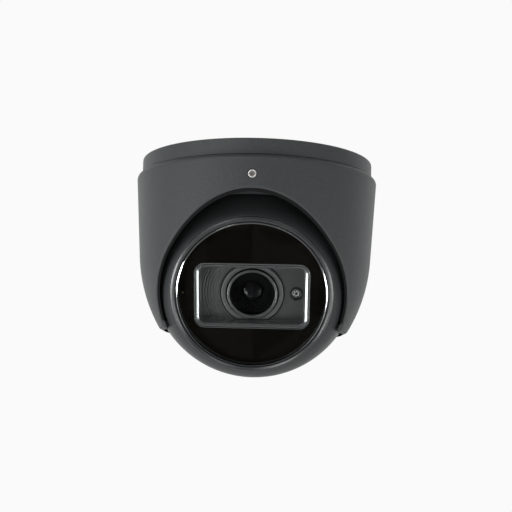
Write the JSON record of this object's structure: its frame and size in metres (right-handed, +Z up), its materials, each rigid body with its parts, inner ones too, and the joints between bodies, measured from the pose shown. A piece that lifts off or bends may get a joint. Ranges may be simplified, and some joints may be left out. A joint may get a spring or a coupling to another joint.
{
  "type": "turret security camera",
  "caption": "Ceiling-mounted turret security camera with a panning cover, a tilting and rolling eyeball, a clear lens pane and a motorised zoom lens inside.",
  "frame": {"origin": "centre of the ceiling mounting face, on the ceiling screws' circle axis", "axes": "+Z up into the ceiling, lens facing -Y and down, +X to the right seen from the front"},
  "size_m": [0.122, 0.122, 0.1091],
  "materials": {
    "powder_coat": "satin fine-textured powder coat, charcoal",
    "bezel_coat": "satin powder coat, darker charcoal",
    "rubber": "matte black silicone rubber",
    "black_plastic": "matte moulded black plastic",
    "stainless": "machined stainless steel",
    "front_glass": "toughened glass with bevelled edge",
    "mask_print": "infrared-passing black print",
    "panel_plastic": "matte moulded dark grey plastic",
    "lens_glass": "coated optical glass",
    "filter_glass": "infrared-cut filter glass",
    "brass": "machined brass",
    "chip_black": "moulded chip package",
    "circuit_board": "green solder mask",
    "aluminium": "stamped aluminium",
    "pad_grey": "soft thermal pad",
    "flex_film": "polyimide film",
    "emitter": "emitter resin",
    "clear_plastic": "clear moulded acrylic"
  },
  "bodies": {
    "base": {"base_plate": "powder_coat", "base_gasket": "rubber"},
    "cover": {"cover_shell": "powder_coat", "lip_gasket": "rubber", "ball_retainer": "black_plastic", "retainer_screws": "stainless"},
    "lock": {"lock_screw": "stainless"},
    "tilt_ring": {"stop_ring": "black_plastic"},
    "eye": {"ball_front": "powder_coat", "ball_rear": "powder_coat", "housing_gasket": "rubber", "housing_screws": "stainless", "front_bezel": "bezel_coat", "window_gasket": "rubber", "window_glass": "front_glass", "window_mask": "mask_print", "lens_shroud": "panel_plastic", "lens_plate": "panel_plastic", "lens_trim_ring": "panel_plastic", "lens_barrel": "black_plastic", "front_element": "lens_glass", "guide_rods": "stainless", "zoom_motor": "stainless", "focus_motor": "stainless", "lens_mount": "black_plastic", "filter_solenoid": "brass", "image_sensor": "chip_black", "sensor_board": "circuit_board", "sensor_screws": "stainless", "chassis_plate": "aluminium", "main_board": "circuit_board", "board_pillars": "brass", "processor": "chip_black", "thermal_pad": "pad_grey", "flex_cable": "flex_film", "led_board": "circuit_board", "led_screws": "stainless", "ir_leds": "emitter", "ir_lenses": "clear_plastic", "light_sensor": "clear_plastic", "indicator_led": "emitter", "cable_gland": "black_plastic", "gland_nut": "black_plastic"},
    "zoom_carriage": {"zoom_group": "lens_glass"},
    "focus_carriage": {"focus_group": "lens_glass"},
    "zoom_drive": {"zoom_drive_screw": "brass"},
    "focus_drive": {"focus_drive_screw": "brass"},
    "filter": {"ir_cut_filter": "filter_glass"}
  },
  "joints": [
    {"name": "cover_pan", "type": "hinge", "parent": "base", "child": "cover", "pos_m": [0, 0, 0], "axis": [0, 0, 1], "range_deg": [-180, 180]},
    {"name": "lock_screw_travel", "type": "slide", "parent": "cover", "child": "lock", "axis": [0, -1, 0], "range_m": [0, 0.0015]},
    {"name": "lens_tilt", "type": "hinge", "parent": "cover", "child": "tilt_ring", "pos_m": [0, 0, -0.0566], "axis": [1, 0, 0], "range_deg": [-24, 51]},
    {"name": "lens_roll", "type": "hinge", "parent": "tilt_ring", "child": "eye", "pos_m": [0, 0, -0.0566], "axis": [0, -0.9033, -0.4289], "range_deg": [-180, 180]},
    {"name": "zoom_drive_turn", "type": "hinge", "parent": "eye", "child": "zoom_drive", "pos_m": [0, -0.00703, -0.04179], "axis": [0, -0.9033, -0.4289], "range_deg": [0, 900]},
    {"name": "zoom_travel", "type": "slide", "parent": "eye", "child": "zoom_carriage", "axis": [0, -0.9033, -0.4289], "range_m": [0, 0.005]},
    {"name": "focus_drive_turn", "type": "hinge", "parent": "eye", "child": "focus_drive", "pos_m": [0, 0.00824, -0.07394], "axis": [0, -0.9033, -0.4289], "range_deg": [0, 900]},
    {"name": "focus_travel", "type": "slide", "parent": "eye", "child": "focus_carriage", "axis": [0, -0.9033, -0.4289], "range_m": [0, 0.005]},
    {"name": "filter_shift", "type": "slide", "parent": "eye", "child": "filter", "axis": [1, 0, 0], "range_m": [0, 0.012]}
  ],
  "couplings": [
    {"joint": "zoom_drive_turn", "follows": "zoom_travel", "rad_per_m": 3141.6},
    {"joint": "focus_drive_turn", "follows": "focus_travel", "rad_per_m": 3141.6}
  ]
}
